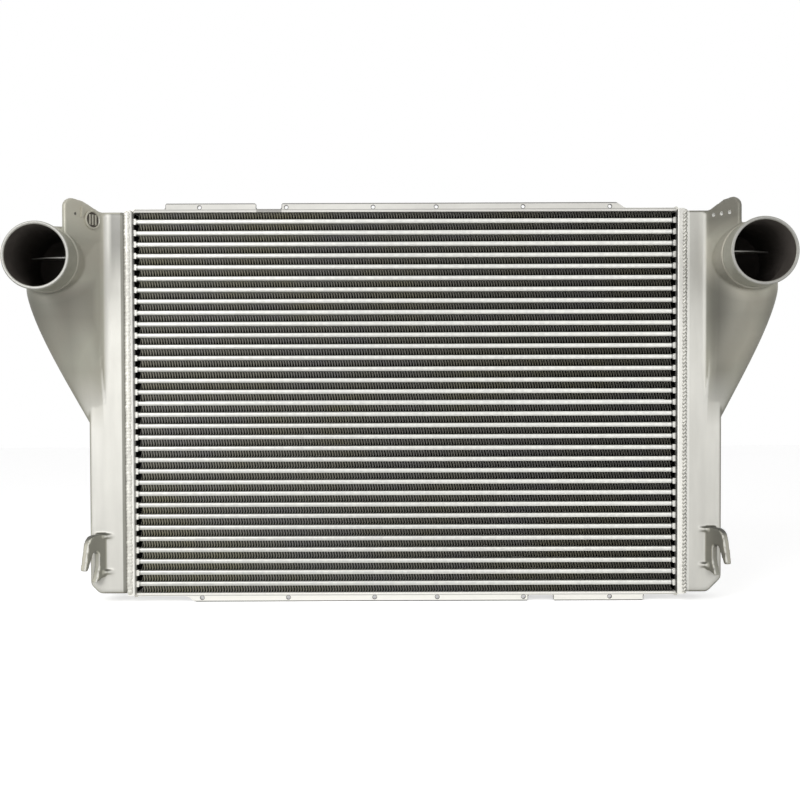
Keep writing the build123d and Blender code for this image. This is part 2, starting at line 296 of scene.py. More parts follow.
def block_space(shape, inset, reach):
    """The space in the tank's long box, reaching out towards the core."""
    return closed([block_ring(shape, inset, y, reach) for y in (BACK - inset, inset - BACK)])


def on_wall(place, level, depth=0.0):
    """A point of the horn's inner wall, by its place along it, its level and its depth."""
    return (
        CREASE + place * sin(LEAN) + depth * cos(LEAN),
        FRONT - place * cos(LEAN) + depth * sin(LEAN),
        level,
    )


def wall_plate(outline, front, back):
    """A plate on the horn's inner wall, between two depths."""
    return closed([[on_wall(s, z, depth) for s, z in outline] for depth in (front, back)])


def wall_ring(place, level, radius, sides):
    """A round outline on the horn's inner wall, as ways along it and levels."""
    return [(place + radius * cos(a), level + radius * sin(a)) for a in full_turn(sides)]


def wall_disc(place, level, radius, front, back):
    """A round bar square to the horn's inner wall."""
    return wall_plate(wall_ring(place, level, radius, 28), front, back)


def wall_bar(low_place, high_place, low, high, front):
    """A square bar that stands out of the horn's inner wall."""
    outline = [(low_place, low), (high_place, low), (high_place, high), (low_place, high)]
    return wall_plate(outline, 1.0, front)


def ear_solid(shape):
    """The flat ear over the neck."""
    reach = shape["ear"]
    outline = [(EAR_START, EAR_FOOT), (EAR_START, EAR_BEND)]
    outline += [(reach * 0.12, EAR_BEND + 2.0), (reach * 0.55, EAR_TOP - 1.5)]
    start, end = (reach - EAR_CORNER, EAR_TOP), (reach, EAR_TOP - EAR_CORNER)
    outline += curve([start, (reach - 3, EAR_TOP - 3), end])
    return wall_plate(outline + [(reach, EAR_FOOT)], 0.0, EAR_THICK)


def ear_root_solid(shape):
    """The wedge that carries the ear's face down into the horn's skin."""
    reach = shape["ear"]
    corners = ((EAR_START, 0), (reach, 0), (reach, EAR_THICK), (EAR_START, EAR_THICK))
    cuts = ((EAR_FOOT + 4, 0.0), (EAR_FOOT, 0.0), (235.0, 2.2), (205.0, 7.0), (180.0, 12.0))
    return closed([[on_wall(s, level, sink + d) for s, d in corners] for level, sink in cuts])


def crease_solid(steps=12):
    """The fillet between the tank's face and the horn's inner wall."""
    rings = []
    for n in range(steps + 1):
        radius = CREASE_START + (CREASE_RADIUS - CREASE_START) * n / steps
        rings.append(crease_ring(radius, CREASE_RUN * n / steps))
    rings.append(crease_ring(CREASE_RADIUS, CORE_HALF - FOLD))
    return closed(rings)


def crease_ring(radius, level, steps=8):
    """A level cut through the crease's fillet."""
    swing = pi / 2 - LEAN
    start = CREASE - radius * tan(swing / 2)
    arc = [swing * n / steps for n in range(steps + 1)]
    ring = [(start + radius * sin(a), FRONT - radius * (1 - cos(a)), level) for a in arc]
    return ring + [(CREASE + SINK, FRONT + SINK, level), (start, FRONT + SINK, level)]


def hook_solids(rise, steps=14):
    """The hook low on the tank, open downwards, with its two gussets."""
    arc = [pi * n / steps for n in range(steps + 1)]
    outline = [(HOOK_SLOT + HOOK_ROUND * cos(a), HOOK_LEVEL + HOOK_ROUND * sin(a)) for a in arc]
    outline += [(HOOK_SLOT - HOOK_ROUND, HOOK_ROUND - 262), (HOOK_SLOT, -283)]
    outline += [(0, -271), (-4, -271), (-4, -206), (7.6, -206)]
    outline += curve([(24, -207), (35, -210), (37, -226)], 6)
    outline += [(43, -262), (37, -262)]
    plate = wall_plate([(s, z + rise) for s, z in outline], 0.0, HOOK_THICK)
    rib = [(CREASE - 12, FRONT), (CREASE, FRONT + WALL), (CREASE + WALL, FRONT)]
    rib.append((CREASE + 8 * sin(LEAN), FRONT - 8 * cos(LEAN)))
    levels = [level + rise for level in GUSSET_LEVELS]
    return [plate] + [level_solid(rib, z - GUSSET_HALF, z + GUSSET_HALF) for z in levels]


def spigot_ring(shape, sides=128):
    """The machined end of the port with its bead and its rounded lip."""
    step_in = ((51.9, 6.0), (51.9, -0.2), (51.4, -0.9), (50.0, -1.4))
    bead = ((50.0, 6.5), (50.5, 5.2), (51.1, 4.0), (51.2, 2.5), (50.9, 0.9), (50.2, 0.1))
    lip = ((49.4, 0.0), (47.0, 0.0), (46.3, 0.5), (BORE, 1.5))
    profile = [(radius, NECK_FACE + y) for radius, y in step_in]
    profile += [(radius, MOUTH + y) for radius, y in bead + lip] + [(BORE, NECK_FACE + 6)]
    points, faces = [], []
    for turn in full_turn(sides):
        for radius, y in profile:
            x, z = shape["port_x"] + radius * cos(turn), shape["port_z"] + radius * sin(turn)
            points.append((x, y, z))
    count = len(profile)
    for n in range(sides):
        here, there = n * count, (n + 1) % sides * count
        for m in range(count):
            k = (m + 1) % count
            faces.append((here + m, here + k, there + k, there + m))
    return points, faces


def vane_solid(shape):
    """The thin level vane inside the neck, reaching in from the side of the core."""
    start, tip = shape["port_x"] - BORE - 1, shape["port_x"] + 30
    level = shape["port_z"] + shape["vane"]
    outline = [(start, -84.0), (tip - 30, -80.0), (tip, -66.0), (tip - 40, -56.0), (start, -44.0)]
    return level_solid(outline, level - 0.9, level + 0.9)


def pad_solids():
    """The ring, the bars and the short rib on the left ear."""
    profile = ((15.0, 1.0), (15.0, -2.4), (14.2, -3.0), (12.4, -3.0), (11.8, -2.4), (11.8, 1.0))
    rings = []
    for radius, front in profile:
        outline = wall_ring(PAD_PLACE, PAD_LEVEL, radius, 40)
        rings.append([on_wall(s, z, front) for s, z in outline])
    points, faces = closed(rings + rings[:1])
    solids = [(points, faces[2:])]
    for shift in (-5.5, 0.5, 6.0):
        place = PAD_PLACE + shift
        solids.append(wall_bar(place - 1.3, place + 1.3, PAD_LEVEL - 8, PAD_LEVEL + 8, -2.2))
    return solids + [wall_bar(41.5, 44.5, 289.0, 304.5, -2.5)]


# ---- making objects ----
def placed_mesh(name, solids, side):
    """A mesh of solids drawn for a right tank, put on its side of the core."""
    points, faces = [], []
    for some_points, some_faces in solids:
        start = len(points)
        points += [Vector((side * x, y, z)) * MM + core_middle for x, y, z in some_points]
        faces += [tuple(start + n for n in face) for face in some_faces]
    mesh = bpy.data.meshes.new(name)
    mesh.from_pydata(points, [], faces)
    return outward(mesh)


def outward(mesh):
    """The same mesh with every face pointing out."""
    work = bmesh.new()
    work.from_mesh(mesh)
    bmesh.ops.recalc_face_normals(work, faces=work.faces)
    work.to_mesh(mesh)
    work.free()
    return mesh


def new_object(name, mesh):
    """A linked object that holds that mesh."""
    made = bpy.data.objects.new(name, mesh)
    bpy.context.scene.collection.objects.link(made)
    return made


def add_modifier(thing, kind, **settings):
    """Gives an object a modifier with its settings."""
    modifier = thing.modifiers.new(kind.title(), kind)
    for key, value in settings.items():
        setattr(modifier, key, value)


def baked(thing):
    """The object with its modifiers made into its mesh."""
    bpy.context.view_layer.update()
    graph = bpy.context.evaluated_depsgraph_get()
    mesh = bpy.data.meshes.new_from_object(thing.evaluated_get(graph), depsgraph=graph)
    mesh.name = thing.name
    thing.modifiers.clear()
    thing.data = mesh
    return thing


def finished(thing, materials, slot_name, *nodes, angle=35.0):
    """Gives a piece its finishes, its shading and its parent, and hides the nodes it stands for.
    """
    kept = [face.material_index for face in thing.data.polygons]
    thing.data.materials.clear()
    for material in materials:
        thing.data.materials.append(material)
    thing.data.polygons.foreach_set("material_index", [min(n, len(materials) - 1) for n in kept])
    thing.data.shade_smooth()
    thing.data.set_sharp_from_angle(angle=radians(angle))
    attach(thing, "root")
    if nodes:
        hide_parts(*nodes)
    return thing


def paint(material, *node_names):
    """Gives CAD nodes that stay a finish."""
    for name in node_names:
        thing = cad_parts[name]
        thing.data.materials.clear()
        thing.data.materials.append(material)


# ---- building node trees ----
BLACK, WHITE = (0.0, 0.0, 0.0, 1.0), (1.0, 1.0, 1.0, 1.0)


def step(operation):
    """A method that adds a Math node."""
    return lambda self, other=0.0: self.nodes.math(operation, self, other)


class Value:
    """A node's output that can be reckoned with."""

    def __init__(self, nodes, socket):
        self.nodes, self.socket = nodes, socket

    __add__, __sub__ = step("ADD"), step("SUBTRACT")
    __mul__, __truediv__ = step("MULTIPLY"), step("DIVIDE")
    __pow__, __mod__ = step("POWER"), step("FLOORED_MODULO")
    __gt__, __lt__ = step("GREATER_THAN"), step("LESS_THAN")
    __abs__, most = step("ABSOLUTE"), step("MAXIMUM")

    def __rsub__(self, other):
        """A number less the value."""
        return self.nodes.math("SUBTRACT", other, self)

    def apart(self, other):
        """The distance of points that lie so far apart each way."""
        return self.nodes.math("SQRT", self ** 2.0 + other ** 2.0)

    def ramp(self, low, high, start=0.0, end=1.0):
        """The value carried from one range to another, and kept in it."""
        inputs = {"Value": self, "From Min": low, "From Max": high, "To Min": start, "To Max": end}
        return self.nodes.make("ShaderNodeMapRange", inputs)

    def fade(self, low, high, strength=1.0):
        """Full strength up to a low value, and none from a high one."""
        return self.ramp(low, high, strength, 0.0)

    def between(self, start, end):
        """What lies that share of the way from start to end."""
        return self.ramp(0.0, 1.0, start, end)


class Nodes:
    """A short way to build a node tree."""

    def __init__(self, tree):
        self.tree = tree

    def add(self, kind, inputs=(), **settings):
        """A node with its settings and its inputs."""
        node = self.tree.nodes.new(kind)
        for key, value in settings.items():
            setattr(node, key, value)
        for key, value in dict(inputs).items():
            self.feed(node.inputs[key], value)
        return node

    def make(self, kind, inputs=(), output=0, **settings):
        """One output of a new node."""
        return Value(self, self.add(kind, inputs, **settings).outputs[output])

    def feed(self, socket, value):
        """Gives a socket a value or a node's output."""
        if isinstance(value, Value):
            self.tree.links.new(value.socket, socket)
        else:
            socket.default_value = value

    def math(self, operation, first, second=0.0):
        """The output of a Math node."""
        return self.make("ShaderNodeMath", {0: first, 1: second}, operation=operation)

    def mix(self, share, first, second):
        """A mix of two colours."""
        return self.make("ShaderNodeMix", {0: share, 6: first, 7: second}, 2, data_type="RGBA")

    def axes(self, vector):
        """The three parts of a vector."""
        parts = self.add("ShaderNodeSeparateXYZ", {0: vector}).outputs
        return [Value(self, part) for part in parts]

    def vector(self, **parts):
        """A vector of the parts given, with the others at nothing."""
        return self.make("ShaderNodeCombineXYZ", parts)


class Finish(Nodes):
    """A material's nodes, and where on the cooler the shaded point lies, in metres."""

    def __init__(self, name):
        self.material = bpy.data.materials.new(name)
        self.material.use_nodes = True
        super().__init__(self.material.node_tree)

    @cached_property
    def place(self):
        """The point in the object's coordinates."""
        return self.make("ShaderNodeTexCoord", output="Object")

    @cached_property
    def spot(self):
        """The point's X, Y and Z."""
        return self.axes(self.place)

    @cached_property
    def out(self):
        """How far it lies out from the core's middle."""
        return abs(self.spot[0] - core_middle.x)

    @cached_property
    def up(self):
        """How far it lies above the core's middle."""
        return self.spot[2] - core_middle.z

    @cached_property
    def upper(self):
        """0 at the core's lower end and 1 at its upper end."""
        return self.up.ramp(-0.3, 0.3)

    @cached_property
    def depth(self):
        """How far it lies inside the core's front or back face."""
        return (fins_high.y - core_middle.y) - abs(self.spot[1] - core_middle.y)

    @cached_property
    def left(self):
        """1 on the cooler's left half and 0 on its right half."""
        return self.spot[0] < core_middle.x

    @cached_property
    def facing(self):
        """The X, Y and Z of the way that the surface faces."""
        return self.axes(self.make("ShaderNodeNewGeometry", output="Normal"))

    @cached_property
    def forward(self):
        """1 where the surface faces the front or the back."""
        return abs(self.facing[1])

    def noise(self, scale, detail=3.0, stretch=None):
        """A noise pattern, stretched where that is asked."""
        place = self.place
        if stretch:
            place = self.make("ShaderNodeMapping", {"Vector": place, "Scale": stretch})
        return self.make("ShaderNodeTexNoise", {"Vector": place, "Scale": scale, "Detail": detail})

    def bump(self, depth, *pattern):
        """A normal that follows a noise pattern."""
        inputs = {"Height": self.noise(*pattern), "Distance": depth, "Strength": 1.0}
        return self.make("ShaderNodeBump", inputs)

    def done(self, **inputs):
        """The material, its shader's inputs named with underscores for spaces."""
        shader = self.tree.nodes["Principled BSDF"]
        for key, value in inputs.items():
            self.feed(shader.inputs[key.replace("_", " ")], value)
        return self.material


def rgba(value, level=1.0):
    """A colour with its fourth value."""
    return (value[0] * level, value[1] * level, value[2] * level, 1.0)


# ---- the castings' finishes ----
# Pairs are where a change starts and ends: levels (up) and distances out, in metres from the
# core's middle, unless the name says otherwise.
HORN_TOP_UP = (0.19, 0.25)
HORN_NECK_SHADOW_UP, HORN_NECK_SHADOW_SPAN = 0.155, (0.02, 0.09)
EAR_UP, EAR_HOLES_UP = (0.255, 0.285), (0.280, 0.284)
HOOK_UP, HOOK_SHADE_UP = (-0.185, -0.195), (-0.160, -0.175)
HOOK_DEPTH = (-0.0064, -0.0074)  # ahead of the core's front
HOOK_FORWARD = (0.62, 0.78)  # from the hook's plate to its edges
GUSSET_OUT = (0.4780, 0.4805)
FACE_UP, FACE_RIM_OUT = (0.06, 0.18), (0.462, 0.468)
CREASE_OUT, RIGHT_CREASE_OUT, RIGHT_WALL_OUT = (0.481, 0.520), (0.479, 0.4905), (0.485, 0.535)
BRUSHED_LIT_OUT, BRUSHED_LIT_UP, BRUSHED_LIT_FORWARD = (0.4775, 0.4815), (-0.04, 0.05), (0.80, 0.96)
NECK_LEVEL, NECK_SPAN = 0.2228, (0.0500, 0.0700)
WELD_SHADE_OUT, LEDGE_HIGHLIGHT_OUT = (0.4484, 0.4494), (0.4490, 0.4500)
INSIDE_PORT = (-0.096, -0.092)  # along Y from the core's middle
VANE_OUT = (0.515, 0.572)


def brushed_lit_face(at, settings, high):
    """The casting's long face in painted light, with a brushing grain and painted shade towards
    its top, most beside the horn's top on the left.
    """
    streak = at.noise(60.0, 3.0, (1.0, 1.0, 0.15)).ramp(0.3, 0.7)
    face = at.mix(streak, rgba(settings.lit_face_metal, 0.9), rgba(settings.lit_face_metal))
    # Painted shade: darker up the face, and more so beside the horn's top on the left.
    dim = high * at.out.fade(*FACE_RIM_OUT) * at.left.between(0.1, 0.48)
    return at.mix(at.up.ramp(*FACE_UP, 1.0, 0.86) - dim, BLACK, face)


def horn_light_and_shade(at, high):
    """How bright the horn's walls are, in painted light and shade: changing towards the crease,
    with a painted shadow under the neck and painted light round it.
    """
    by_crease = at.out.fade(*CREASE_OUT)
    left = by_crease * 0.50 + high.between(0.86, 0.95)
    right = at.out.ramp(*RIGHT_WALL_OUT, 0.48, 1.28) * at.out.ramp(*RIGHT_CREASE_OUT, 1.7, 1.0)
    tone = at.left.between(high.between(right, 0.92), left)
    # Painted shadow under the neck, weaker by the crease on the left.
    under = abs(at.up - HORN_NECK_SHADOW_UP).ramp(*HORN_NECK_SHADOW_SPAN, 0.62, 1.0)
    under = under.most(by_crease * at.left * 0.8)
    port_out = at.left.between(SHAPES[RIGHT]["port_x"] * MM, SHAPES[LEFT]["port_x"] * MM)
    # Painted light round the neck.
    off_port = (at.out - port_out).apart(at.up - NECK_LEVEL)
    return tone * under * off_port.ramp(*NECK_SPAN, 1.40, 1.0)


def wall_lift(at):
    """How much brighter or darker the ears and hooks are than the walls, as painted light and
    shade: the left ear lighter, the right ear and the hook's plate darker, the hook's outer
    forward faces lighter.
    """
    ear = at.up.ramp(*EAR_UP, 1.0, at.left.between(0.56, 1.24))
    hook = at.up.ramp(*HOOK_UP) * at.depth.ramp(*HOOK_DEPTH)
    edge = at.out.ramp(*GUSSET_OUT, 1.0, 1.6)
    return ear * hook.between(1.0, at.forward.ramp(*HOOK_FORWARD, 0.68, edge))


def cast_aluminium(settings):
    """Satin cast aluminium with a brushing grain on the long face, in painted light and shade: the
    long face lit where it faces forward, the walls up the horn darker.
    """
    at = Finish("cast_aluminium")
    cloud = at.noise(14.0, 4.0)
    high = at.up.ramp(*HORN_TOP_UP)
    patch = cloud.ramp(0.35, 0.65, 0.0, 0.35)
    wall = at.mix(patch, rgba(settings.shaded_cast_metal), rgba(settings.warm_metal))
    wall = {0: at.mix(horn_light_and_shade(at, high), BLACK, wall), "Scale": wall_lift(at)}
    wall = at.make("ShaderNodeVectorMath", wall, operation="SCALE")  # a mix stops at full tone
    # Painted light: the long face takes the lit colour where it faces forward or back, and other
    # faces take the shaded one.
    brushed_and_lit = at.out.fade(*BRUSHED_LIT_OUT).most(at.up.fade(*BRUSHED_LIT_UP))
    brushed_and_lit = brushed_and_lit * at.forward.ramp(*BRUSHED_LIT_FORWARD)
    base = at.mix(brushed_and_lit, wall, brushed_lit_face(at, settings, high))
    # Painted shade: upward-facing faces low on the tank, about the hook, darkened.
    over_hook = at.facing[2].ramp(0.15, 0.6, 0.0, 0.6) * at.up.ramp(*HOOK_SHADE_UP)
    base = at.mix(over_hook, base, BLACK)
    # Painted shadow: a dark band on the left tank beside its weld.
    shade_line = at.out.fade(*WELD_SHADE_OUT, 0.85) * at.left
    base = at.mix(shade_line, base, rgba(settings.shaded_cast_metal, 0.45))
    # Painted highlight: a light band on the right tank beside its weld.
    ledge_highlight = at.out.fade(*LEDGE_HIGHLIGHT_OUT, 0.6) * (1.0 - at.left)
    return at.done(
        Base_Color=at.mix(ledge_highlight, base, rgba(settings.ledge_highlight_metal)), Metallic=0.35,
        Roughness=cloud.ramp(0.3, 0.7, 0.42, 0.56), Normal=at.bump(0.00012, 700.0, 2.0),
    )


def machined_metal(settings):
    """Turned metal of the ports' mouths, the vanes and the drilled holes, in painted light and
    shade: lighter where it faces forward, the right ear's holes lit, the ports' depths in painted
    shade.
    """
    at = Finish("machined_aluminium")
    side = at.mix(at.noise(50.0), rgba(settings.shaded_cast_metal, 0.85), rgba(settings.shaded_cast_metal, 1.1))
    # Painted light: faces that look forward take a lit colour, and side faces a shaded one.
    base = at.mix(at.forward.ramp(0.5, 0.9), side, rgba(settings.lit_face_metal, 0.46))
    # Painted light inside the right ear's drilled holes.
    in_ear = at.up.ramp(*EAR_HOLES_UP) * (1.0 - at.left)
    base = at.mix(in_ear, base, rgba(settings.lit_hole_metal))
    # Painted shade deep in the ports, less towards the core's side.
    inside = (at.spot[1] - core_middle.y).ramp(*INSIDE_PORT) * (1.0 - in_ear)
    return at.done(
        Base_Color=at.mix(inside * at.out.ramp(*VANE_OUT, 0.15, 0.8), base, BLACK),
        Metallic=0.35, Roughness=0.38, Normal=at.bump(0.00004, 900.0, 1.0, (0.1, 1.0, 0.1)),
    )


def bore_metal(settings):
    """Painted shade: the dark inside of the ports and tanks."""
    at = Finish("bore_metal")
    tone = settings.bore_metal
    base = at.mix(at.noise(30.0, 4.0), rgba(tone, 0.6), rgba(tone, 1.5))
    return at.done(Base_Color=base, Metallic=0.0, Roughness=0.7, Specular_IOR_Level=0.2)


# ---- the finishes of the sheets, tubes, fins and welds ----
# Pairs are distances, in metres, where a mark starts to fade and where it has gone.
INNER_FACE = (0.0002, 0.0010)  # past the headers' faces
GAP_DEPTH = (0.001, 0.004)
RIM_LEVEL = (0.3147, 0.3153)
FOLD_LEVEL, FOLD_LINE = 0.3062, (0.0004, 0.0009)
RAIL_HOLE_PITCH, RAIL_FIRST_HOLE, RAIL_HOLE_LEVEL = 0.1375, 0.05, 0.31
RAIL_HOLE_LINE = (0.0034, 0.0040)
EDGE_PLACE, EDGE_LINE = 0.0004, (0.0006, 0.0011)
TAB_ENDS, TAB_LINE, TAB_LEVEL = (-0.3790, -0.2350, -0.1950), (0.0007, 0.0012), (0.3070, 0.3075)
NOTCH_MIDDLE, NOTCH_HALF = -0.215, (0.0195, 0.0205)
FIN_ROW, TUBE_ROW = 11.0, 7.0  # how the core's height is shared out
NOSE_SHADE_PLACE, NOSE_SHADE_LINE = 0.0011, (0.0002, 0.0007)
COLLAR_PLACE, COLLAR_LINE = 0.0059, (0.0006, 0.0013)
FIN_FADE = (0.0, 0.0045)
WELD_CREST = (0.0017, 0.0005)  # below the bead's crown
WELD_INNER_OUT, WELD_END_LEVEL = (0.4400, 0.4420), (0.298, 0.300)


def row_sizes():
    """The height of a row of fins, and the pitch of the rows."""
    tubes = len(tube_names)
    share = (fins_high.z - fins_low.z) / (tubes * (FIN_ROW + TUBE_ROW) + FIN_ROW)
    return share * FIN_ROW, share * (FIN_ROW + TUBE_ROW)


def sheet_lines(at):
    """Lines of painted shade along the rims and folds of a sheet, and round the rails' holes."""
    level, half = abs(at.up), RAIL_HOLE_PITCH / 2
    rim = level.ramp(*RIM_LEVEL, 0.0, at.upper.between(0.95, 0.8))
    fold = abs(level - FOLD_LEVEL).fade(*FOLD_LINE, 0.5)
    along = (at.out + (half - RAIL_FIRST_HOLE)) % RAIL_HOLE_PITCH - half
    off_hole = along.apart(level - RAIL_HOLE_LEVEL)
    return rim.most(fold).most(off_hole.fade(*RAIL_HOLE_LINE, 0.9))


def rail_marks(at):
    """Lines of painted shade where the rails' raised stretches end, and painted shade in the
    notches and towards the left end, most on the upper rail.
    """
    turned = (at.spot[0] - core_middle.x) * at.math("SIGN", at.up)
    first, second, third = [abs(turned - place).fade(*TAB_LINE, 0.8) for place in TAB_ENDS]
    ends = first.most(second).most(third) * abs(at.up).ramp(*TAB_LEVEL)
    notch = abs(turned - NOTCH_MIDDLE).fade(*NOTCH_HALF, 0.4) * at.upper
    by_left = at.spot[0].fade(-0.36, -0.05, 0.3) * at.upper.between(0.25, 1.0)
    return ends, notch + by_left


def sheet_metal(name, tone, rough, gaps):
    """Rolled sheet with a faint lengthwise grain, in painted light and shade: lighter towards its
    lower end, dark in the gaps by the fins and along the headers' edge on the core's side.
    """
    at = Finish(name)
    grain = at.noise(40.0, 3.0, (0.3, 1.0, 1.0)).ramp(0.3, 0.7)
    within = at.out.fade(*(header_face + past for past in INNER_FACE))
    deep = within * at.depth.ramp(*GAP_DEPTH, 0.0, gaps)
    base = at.mix(grain, rgba(tone, 0.88), rgba(tone))
    # Painted light: the sheet lighter towards the core's lower end.
    base = at.mix(at.upper.between(1.0, 0.0), base, rgba(tone, 1.55))
    lines = sheet_lines(at)
    if not gaps:
        ends, shade = rail_marks(at)
        lines = lines.most(ends)
        base = at.mix(shade, base, BLACK)
    # Painted shade along those lines.
    base = at.mix(within * lines, base, rgba(tone, 0.08))
    # Painted shadow: a dark line along the headers' edge by the tube collars.
    edge_tone = at.spot[0].ramp(-0.2, 0.2, 0.5, 0.9)
    edge = abs(at.out - (header_face + EDGE_PLACE)).fade(*EDGE_LINE, edge_tone)
    base = at.mix(edge * gaps, base, rgba(tone, 0.08))
    return at.done(
        Base_Color=at.mix(deep, base, rgba(tone, 0.01)), Metallic=deep.between(0.35, 1.0),
        Roughness=deep.between(rough, 1.0), Normal=at.bump(0.00006, 500.0, 2.0),
    )


def tube_metal(settings):
    """Bright brazed tube with a broken line of painted shade along its nose and a dark line by its
    collar, in painted light that dims to the left and up the core.
    """
    at = Finish("tube_aluminium")
    x, y, z = at.spot
    pitch = row_sizes()[1]
    off_row = at.math("PINGPONG", abs(at.up / pitch), 0.5) * pitch
    # Painted shade: broken dark lines along the middle of each tube's nose.
    dashes = at.noise(160.0, 1.0, (1.0, 0.1, 0.1)).ramp(0.35, 0.6, 0.3, 1.0)
    shade_line = abs(off_row - NOSE_SHADE_PLACE).fade(*NOSE_SHADE_LINE) * dashes
    base = at.mix(shade_line, rgba(settings.tube_metal), rgba(settings.tube_line))
    collar = abs(at.out - (header_face - COLLAR_PLACE)).fade(*COLLAR_LINE)
    base = at.mix(collar * x.ramp(-0.4, 0.4, 0.55, 1.0), base, rgba(settings.tube_line, 0.3))
    # Painted light: the tubes dimmer towards the left and towards the top.
    glow = x.ramp(-0.25, 0.25, 0.74, 0.98) * z.ramp(0.55, 0.1, 0.90, 1.0)
    return at.done(
        Base_Color=at.mix(glow, BLACK, base), Metallic=0.5, Roughness=0.38,
        Normal=at.bump(0.00005, 300.0, 2.0),
    )


def fin_metal(settings):
    """Thin folded sheet, drifting between olive and blue, in painted light and shade: dark in its
    depth and on its downward-facing folds, dimmer towards the right.
    """
    at = Finish("fin_metal")
    drift = at.noise(7.0, 4.0).ramp(0.38, 0.62)
    patch = at.noise(70.0, 3.0, (0.5, 1.0, 1.0)).ramp(0.35, 0.65, 0.25, 0.75)
    tint = at.mix(drift, rgba(settings.fin_blue), rgba(settings.fin_olive))
    # Painted shade in the depth, on downward-facing folds and towards the right.
    lit = at.depth.fade(*FIN_FADE) * at.facing[2].ramp(0.0, 0.12, 0.14, 1.0)
    lit = lit * at.spot[0].ramp(-0.3, 0.35, 1.0, 0.62)
    base = at.mix(lit, BLACK, at.mix(patch, rgba(settings.fin_metal), tint))
    return at.done(Base_Color=base, Metallic=0.0, Roughness=0.8, Specular_IOR_Level=0.0)


def weld_metal(settings):
    """A fused bead, even on the left and with painted shade in its hollows on the right."""
    at = Finish("weld_metal")
    cloud = at.noise(120.0)
    tone = settings.weld_metal
    crest = abs(at.spot[1] - core_middle.y).ramp(*(weld_crown - below for below in WELD_CREST))
    crest = crest.most(at.out.fade(*WELD_INNER_OUT, 0.75))
    crest = crest.most(abs(at.up).ramp(*WELD_END_LEVEL))
    right = at.mix(cloud.ramp(0.35, 0.65), rgba(tone, 0.85), rgba(tone, 1.2))
    left = at.mix(cloud.ramp(0.3, 0.6), rgba(tone, 1.0), rgba(tone, 1.3))
    # Painted shade in the right bead's hollows, below the crest.
    right, left = at.mix(crest, rgba(tone, 0.28), right), at.mix(crest, rgba(tone, 1.1), left)
    return at.done(Base_Color=at.mix(at.left, right, left), Metallic=0.4, Roughness=0.42)


# ---- geometry node trees ----
class Geometry(Nodes):
    """A geometry node tree with named inputs."""

    def __init__(self, name, **sockets):
        super().__init__(bpy.data.node_groups.new(name, "GeometryNodeTree"))
        new_socket = self.tree.interface.new_socket
        for kind, labels in sockets.items():
            for label in labels:
                new_socket(name=label, in_out="INPUT", socket_type="NodeSocket" + kind)
        new_socket(name="Geometry", in_out="OUTPUT", socket_type="NodeSocketGeometry")
        given = self.add("NodeGroupInput").outputs
        self.given = {socket.name: Value(self, socket) for socket in given if socket.name}

    def shape(self, kind, settings=(), **inputs):
        """What a geometry node gives, its inputs named with underscores for spaces."""
        inputs = {key.replace("_", " "): value for key, value in inputs.items()}
        return self.make("GeometryNode" + kind, inputs, **dict(settings))

    def scatter(self, kind, low, high):
        """A random value for each point, the same each time."""
        inputs = {"Min": low, "Max": high, "Seed": self.given["Seed"]}
        return self.make("FunctionNodeRandomValue", inputs, "Value", data_type=kind)

    def joined(self, first, second):
        """Two geometries as one."""
        both = self.add("GeometryNodeJoinGeometry", {0: first})
        self.feed(both.inputs[0], second)
        return Value(self, both.outputs[0])

    def close(self, geometry):
        """Realises what the tree made, gives it its material and returns the tree."""
        real = self.shape("RealizeInstances", Geometry=geometry)
        done = self.shape("SetMaterial", Geometry=real, Material=self.given["Material"])
        self.add("NodeGroupOutput", {0: done})
        return self.tree


def grown(name, tree, **values):
    """An object that the tree makes, as a plain mesh."""
    thing = new_object(name, bpy.data.meshes.new(name))
    modifier = thing.modifiers.new("Nodes", "NODES")
    modifier.node_group = tree
    for item in tree.interface.items_tree:
        if item.in_out == "INPUT":
            modifier[item.identifier] = values[item.name]
    return baked(thing)


FIN_BAYS = 3.0  # strips of sheet through the core's depth
FIN_DEEPENING = 2.2  # how much shorter the first strips are
FIN_SWAY = (1.8, 2.7)  # of the wave's size, from the left end to the right one
FIN_JITTER = 0.15  # of a fold's length, between rows
MERGE = 0.000001
RIPPLE_JITTER = Vector((0.0004, 0.0002, 0.0004))


def folded_places(nodes):
    """Where each point of a flat grid goes when it is folded up and down along X."""
    given = nodes.given
    period, depth = given["Period"], given["Depth"]
    x, y, z = nodes.axes(nodes.make("GeometryNodeInputPosition"))
    half = given["Folds"] * period * 0.5
    turn = nodes.math("ROUND", (x + half) / (period * 0.25)) % 4.0
    pull = turn % 2.0 * (given["Crest"] - 0.25) * period
    bay = nodes.math("ROUND", (y / depth + 0.5) * FIN_BAYS)
    lean = (x / half).ramp(-1.0, 1.0, *FIN_SWAY)
    sway = nodes.math("MINIMUM", bay, 1.0) * given["Wave"] * lean
    sway = sway - nodes.math("COMPARE", bay, 2.0) * period
    new_y = ((bay / FIN_BAYS) ** FIN_DEEPENING - 0.5) * depth
    return nodes.vector(X=x + pull + sway, Y=new_y, Z=((turn > 1.5) - 0.5) * given["Height"])


